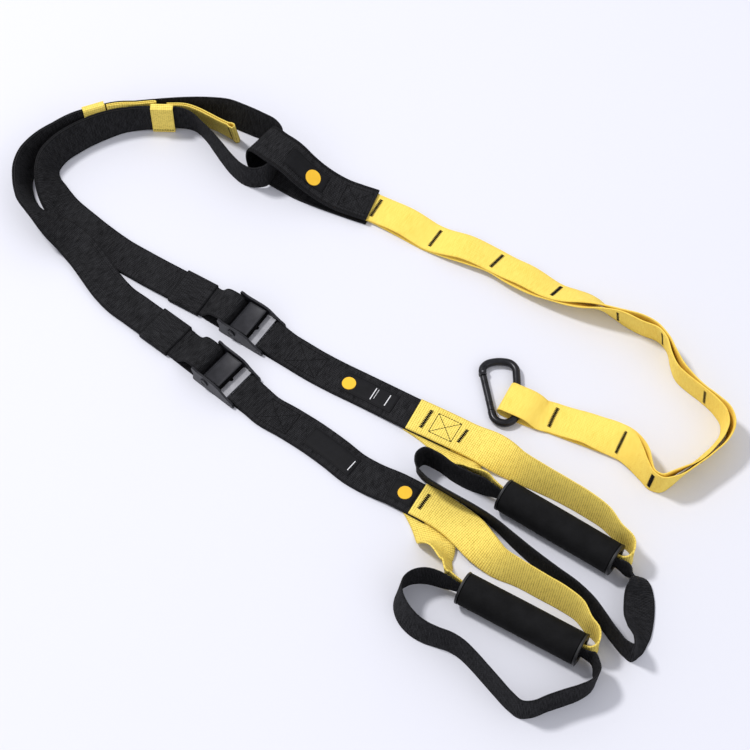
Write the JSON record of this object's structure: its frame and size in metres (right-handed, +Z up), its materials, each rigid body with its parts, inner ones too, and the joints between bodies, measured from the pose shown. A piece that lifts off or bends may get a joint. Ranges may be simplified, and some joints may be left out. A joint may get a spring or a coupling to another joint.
{
  "type": "suspension trainer",
  "caption": "Webbing body-weight trainer: daisy-chain anchor strap with carabiner, equalizer loop, two buckled legs, foam grips and foot cradles.",
  "frame": {"origin": "middle of the laid-out trainer's bounding box, on the floor", "axes": "+Z up from the floor, +X to the right and +Y away from the viewer of the picture"},
  "size_m": [0.7656, 0.7202, 0.0444],
  "materials": {
    "black_webbing": "ribbed woven webbing",
    "yellow_anchor": "woven webbing",
    "yellow_handle": "coarse woven webbing",
    "padded_black": "padded webbing",
    "foam": "matt foam",
    "moulded_black": "moulded",
    "buckle_black": "satin",
    "steel_grey": "satin",
    "anodised_black": "anodised",
    "label": "smooth patch"
  },
  "bodies": {
    "straps": {"adjuster_sleeve_1": "yellow_handle", "adjuster_sleeve_2": "yellow_handle", "adjuster_tail_1": "yellow_handle", "adjuster_tail_2": "yellow_handle", "anchor_strap": "yellow_anchor", "buckle_frame_1": "buckle_black", "buckle_frame_2": "buckle_black", "cam_axle_1": "steel_grey", "cam_axle_2": "steel_grey", "equalizer_loop": "padded_black", "equalizer_patch": "label", "foot_cradle_1": "black_webbing", "foot_cradle_2": "black_webbing", "handle_strap_1": "yellow_handle", "handle_strap_2": "yellow_handle", "label_patch_1": "label", "label_patch_2": "label", "label_patch_3": "label", "lower_strap_1": "black_webbing", "lower_strap_2": "black_webbing", "main_strap": "black_webbing", "stop_plate_1": "steel_grey", "stop_plate_2": "steel_grey", "strap_bar_1": "buckle_black", "strap_bar_2": "buckle_black"},
    "carabiner": {"carabiner_body": "anodised_black", "gate_hinge_pin": "steel_grey"},
    "gate": {"carabiner_gate": "anodised_black"},
    "lever_1": {"cam_lever_1": "buckle_black"},
    "lever_2": {"cam_lever_2": "buckle_black"},
    "grip_1": {"grip_tube_1": "moulded_black", "grip_foam_1": "foam", "grip_cap_inner_1": "moulded_black", "grip_cap_outer_1": "moulded_black"},
    "grip_2": {"grip_tube_2": "moulded_black", "grip_foam_2": "foam", "grip_cap_inner_2": "moulded_black", "grip_cap_outer_2": "moulded_black"},
    "keeper_1": {"keeper_1": "black_webbing"},
    "keeper_2": {"keeper_2": "black_webbing"}
  },
  "joints": [
    {"name": "carabiner_swing", "type": "hinge", "parent": "straps", "child": "carabiner", "pos_m": [0.1631, -0.0012, 0.0062], "axis": [0, 1, 0], "range_deg": [0, 90], "deforming": ["anchor_strap"]},
    {"name": "gate_hinge", "type": "hinge", "parent": "carabiner", "child": "gate", "pos_m": [0.12765, 0.02309, 0.00436], "axis": [-0.0519, 0, 0.9987], "range_deg": [0, 25], "stiffness_Nm_per_rad": 0.1, "springref_deg": -17.19, "deforming": ["anchor_strap"]},
    {"name": "cam_lever_1_press", "type": "hinge", "parent": "straps", "child": "lever_1", "pos_m": [-0.12529, 0.0856, 0.0114], "axis": [0.5664, 0.8241, 0], "range_deg": [0, 20], "stiffness_Nm_per_rad": 0.1, "springref_deg": -17.19},
    {"name": "cam_lever_2_press", "type": "hinge", "parent": "straps", "child": "lever_2", "pos_m": [-0.14952, 0.02409, 0.0114], "axis": [0.6494, 0.7604, 0], "range_deg": [0, 20], "stiffness_Nm_per_rad": 0.1, "springref_deg": -17.19},
    {"name": "grip_1_spin", "type": "hinge", "parent": "straps", "child": "grip_1", "pos_m": [0.1991, -0.1632, 0.0176], "axis": [0.832, -0.5548, 0], "continuous": true},
    {"name": "grip_2_spin", "type": "hinge", "parent": "straps", "child": "grip_2", "pos_m": [0.1581, -0.2627, 0.0176], "axis": [0.8643, -0.503, 0], "continuous": true},
    {"name": "keeper_1_slide", "type": "slide", "parent": "straps", "child": "keeper_1", "axis": [-0.8572, 0.515, 0], "range_m": [0, 0.025]},
    {"name": "keeper_2_slide", "type": "slide", "parent": "straps", "child": "keeper_2", "axis": [-0.7771, 0.6293, 0], "range_m": [0, 0.025]}
  ]
}
